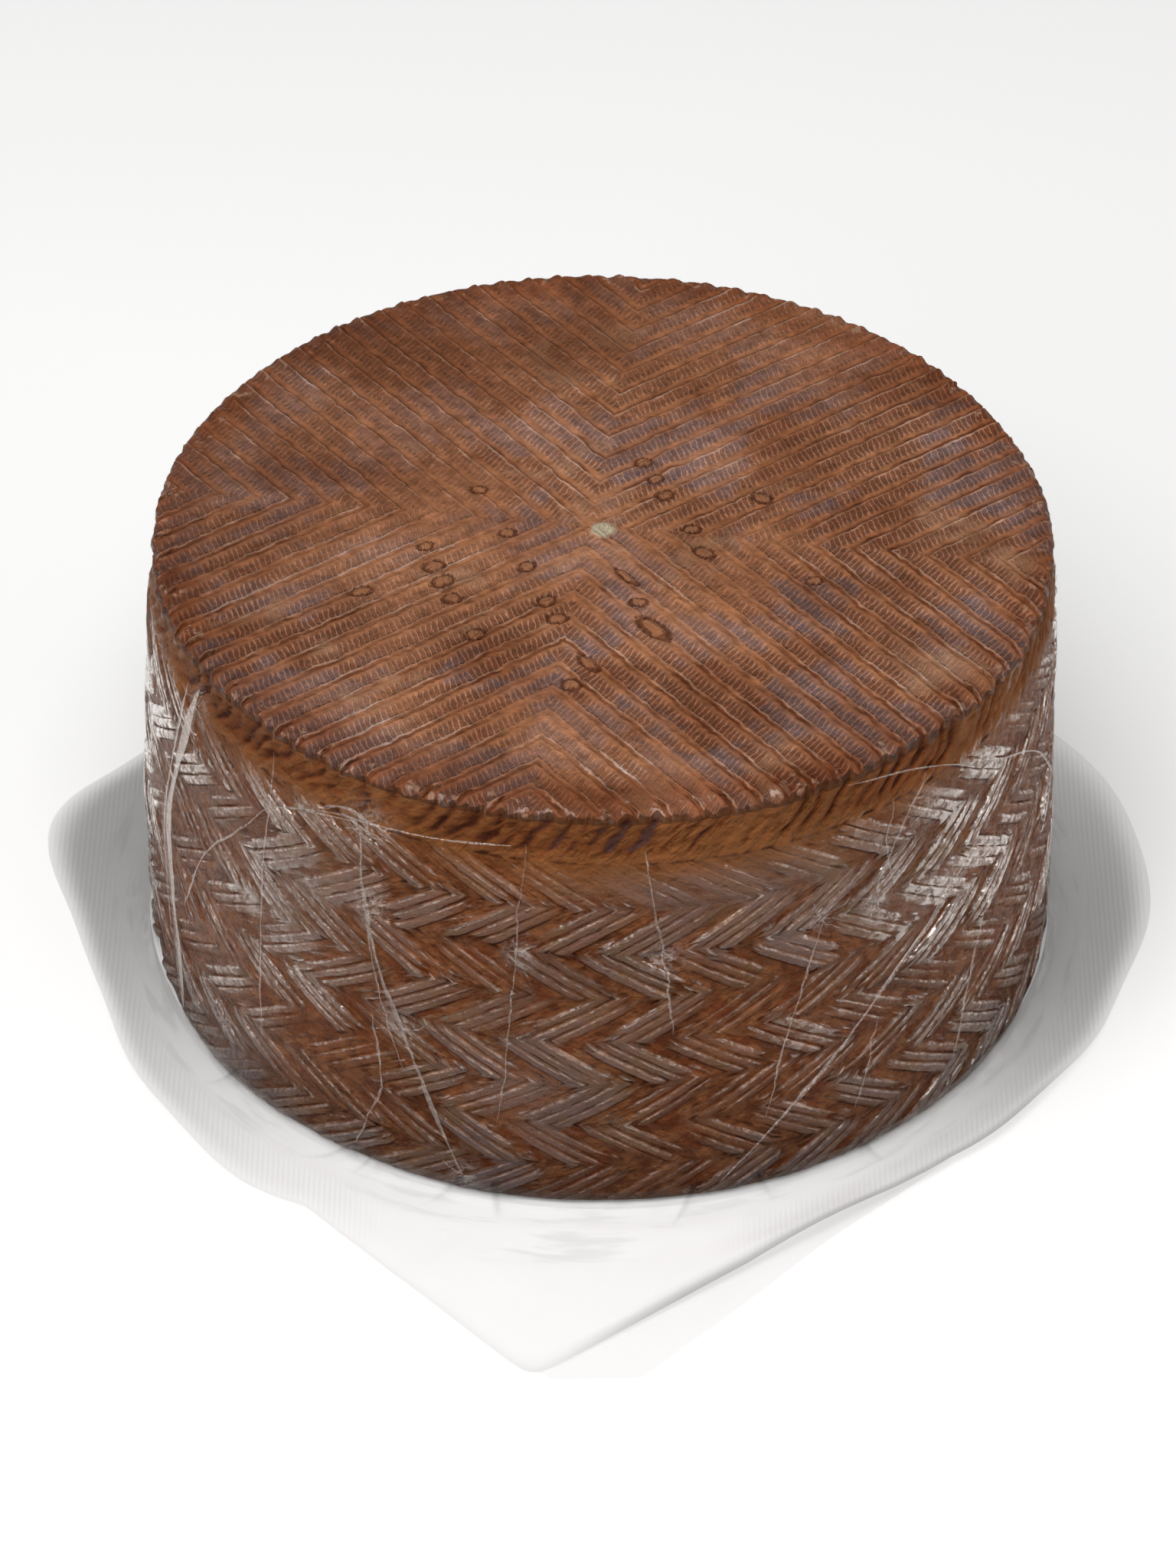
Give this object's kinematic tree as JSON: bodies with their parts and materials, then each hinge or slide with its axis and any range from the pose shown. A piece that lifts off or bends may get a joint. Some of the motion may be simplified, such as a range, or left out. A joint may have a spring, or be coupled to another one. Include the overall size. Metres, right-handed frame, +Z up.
{
  "type": "cheese wheel",
  "caption": "Whole pressed cheese wheel with a plaited-mould herringbone rind and a ribbed top, sealed in a clear vacuum bag with a free margin round its foot.",
  "frame": {"origin": "on the wheel's axis, at its flat underside", "axes": "+Z up along the wheel's axis, -Y towards the front corner of the bag, +X to the right seen from the front"},
  "size_m": [0.2432, 0.2939, 0.1025],
  "materials": {
    "rind": "waxy brown pressed rind, satin, orange-brown in the hollows and grey-brown on the strands",
    "film": "clear glossy vacuum film, thin, creased, with a welded margin"
  },
  "bodies": {
    "root": {"cheese_wheel": "rind", "vacuum_bag": "film"}
  },
  "joints": []
}
